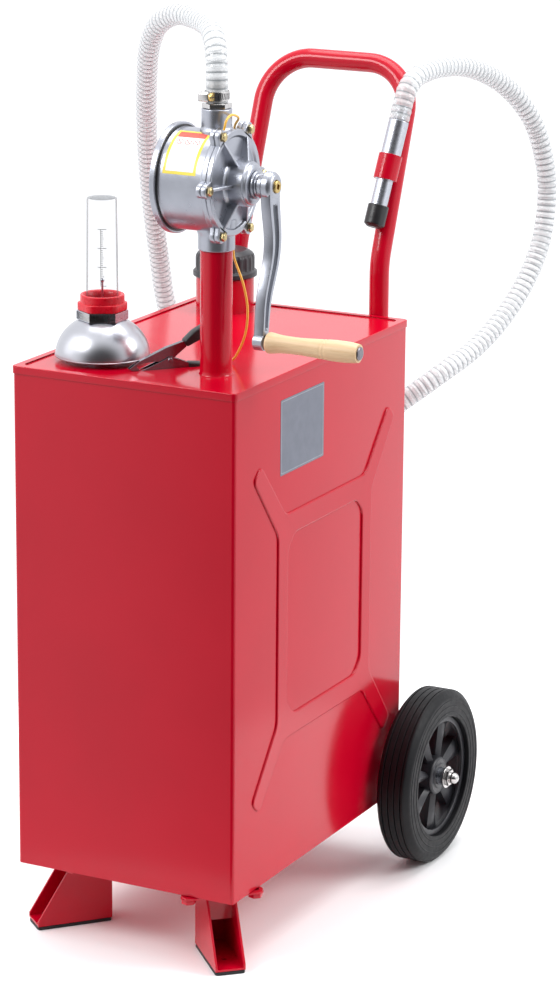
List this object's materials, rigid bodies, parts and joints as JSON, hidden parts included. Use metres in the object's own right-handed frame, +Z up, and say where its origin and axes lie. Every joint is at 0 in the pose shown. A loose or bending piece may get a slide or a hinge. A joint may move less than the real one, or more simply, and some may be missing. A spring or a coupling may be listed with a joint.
{
  "type": "fuel caddy",
  "caption": "Upright steel fuel tank on two wheels and two feet, with a tow handle, hand-cranked pump, clear hose and nozzle, float gauge, filler cap and grounding clamp.",
  "frame": {"origin": "on the floor, at the middle of the outline of everything but the hose, the wire and what is on them", "axes": "+X to the crank side, -Y to the front, where the pump and the feet are, +Z up"},
  "size_m": [0.5776, 0.9514, 1.2667],
  "materials": {
    "tank_paint": "gloss red enamel on sheet steel",
    "cast_alloy": "satin silver-grey coating on castings",
    "satin_alloy": "satin machined alloy",
    "bright_steel": "bright zinc-plated steel",
    "plated_steel": "nickel plating",
    "tube_steel": "drawn steel tube",
    "shaft_steel": "steel with a pale brass-coloured zinc passivate",
    "zinc_bolt": "yellow zinc plating",
    "bush_bronze": "sintered bronze",
    "tyre": "solid black rubber, fine circular grooves",
    "wheel_plastic": "black moulded plastic",
    "foot_rubber": "black rubber sole",
    "tip_rubber": "black nitrile rubber",
    "vane_plastic": "black filled plastic",
    "cap_plastic": "black moulded plastic with fine ribs",
    "grip_wood": "clear-lacquered beech",
    "grip_vinyl": "black dipped vinyl",
    "ring_plastic": "red moulded plastic",
    "wire_jacket": "orange-yellow insulation",
    "clear_hose": "clear ribbed PVC, slightly milky",
    "clear_tube": "clear sight tube"
  },
  "bodies": {
    "caddy": {"tank_shell": "tank_paint", "tank_top": "tank_paint", "filler_neck": "tank_paint", "standpipe": "tank_paint", "suction_tube": "tube_steel", "foot_left": "tank_paint", "foot_right": "tank_paint", "foot_pad_left": "foot_rubber", "foot_pad_right": "foot_rubber", "handle_strap": "tank_paint", "rear_bracket": "tank_paint", "axle": "bright_steel", "axle_nut_left": "plated_steel", "axle_nut_right": "plated_steel", "handle_tube": "tank_paint", "nozzle_tube": "plated_steel", "nozzle_holder": "tank_paint", "pump_body": "cast_alloy", "pump_rear_cover": "cast_alloy", "pump_front_cover": "cast_alloy", "shaft_bush_front": "bush_bronze", "shaft_bush_rear": "bush_bronze", "gland_nut": "cast_alloy", "hose_adapter": "plated_steel", "hose_clamp": "plated_steel", "hose": "clear_hose", "gauge_dome": "satin_alloy", "gauge_fitting": "satin_alloy", "gauge_ring": "ring_plastic", "gauge_tube": "clear_tube", "clamp_lower_jaw": "bright_steel", "clamp_spring": "bright_steel", "clamp_lower_grip": "grip_vinyl", "ground_wire": "wire_jacket", "cover_bolt_1": "zinc_bolt", "cover_bolt_2": "zinc_bolt", "cover_bolt_3": "zinc_bolt", "cover_bolt_4": "zinc_bolt", "cover_bolt_5": "zinc_bolt", "cover_bolt_6": "zinc_bolt"},
    "left_wheel": {"tyre_left": "tyre", "wheel_left": "wheel_plastic", "wheel_bush_left": "bright_steel"},
    "right_wheel": {"tyre_right": "tyre", "wheel_right": "wheel_plastic", "wheel_bush_right": "bright_steel"},
    "crank": {"pump_shaft": "shaft_steel", "pump_rotor": "cast_alloy", "pump_vane_1": "vane_plastic", "pump_vane_2": "vane_plastic", "crank_arm": "cast_alloy", "grip_pin": "plated_steel"},
    "grip": {"crank_grip": "grip_wood"},
    "cap_seal": {"cap_gasket": "tip_rubber"},
    "cap": {"filler_cap": "cap_plastic"},
    "float_arm": {"gauge_float": "vane_plastic"},
    "gauge_pointer": {"gauge_rod": "bright_steel"},
    "clamp_upper": {"clamp_upper_jaw": "bright_steel", "clamp_upper_grip": "grip_vinyl"},
    "tip": {"nozzle_tip": "tip_rubber"}
  },
  "joints": [
    {"name": "left_wheel_spin", "type": "hinge", "parent": "caddy", "child": "left_wheel", "pos_m": [-0.2336, 0.20651, 0.127], "axis": [1, 0, 0], "continuous": true},
    {"name": "right_wheel_spin", "type": "hinge", "parent": "caddy", "child": "right_wheel", "pos_m": [0.1794, 0.20651, 0.127], "axis": [1, 0, 0], "continuous": true},
    {"name": "crank_turn", "type": "hinge", "parent": "caddy", "child": "crank", "pos_m": [0.1254, -0.22669, 1.0558], "axis": [1, 0, 0], "continuous": true},
    {"name": "grip_spin", "type": "hinge", "parent": "crank", "child": "grip", "pos_m": [0.1494, -0.25119, 0.8563], "axis": [1, 0, 0], "continuous": true},
    {"name": "cap_lift", "type": "slide", "parent": "caddy", "child": "cap_seal", "axis": [0, 0, 1], "range_m": [0, 0.0161]},
    {"name": "cap_turn", "type": "hinge", "parent": "cap_seal", "child": "cap", "pos_m": [-0.1211, 0.13601, 0.866], "axis": [0, 0, 1], "range_deg": [0, 960]},
    {"name": "float_swing", "type": "hinge", "parent": "caddy", "child": "float_arm", "pos_m": [-0.1111, -0.22849, 0.429], "axis": [1, 0, 0], "range_deg": [0, 130]},
    {"name": "gauge_rise", "type": "slide", "parent": "caddy", "child": "gauge_pointer", "axis": [0, 0, 1], "range_m": [0, 0.1001]},
    {"name": "clamp_open", "type": "hinge", "parent": "caddy", "child": "clamp_upper", "pos_m": [-0.0103, -0.22783, 0.8115], "axis": [-0.766, 0.6428, 0], "range_deg": [0, 22], "stiffness_Nm_per_rad": 0.25, "springref_deg": -28.65},
    {"name": "tip_slide", "type": "slide", "parent": "caddy", "child": "tip", "axis": [-0.0698, -0.3559, -0.9319], "range_m": [0, 0.03]}
  ],
  "couplings": [
    {"joint": "cap_lift", "follows": "cap_turn", "m_per_rad": 0.00095493},
    {"joint": "gauge_rise", "follows": "float_swing", "m_per_rad": 0.044074}
  ]
}
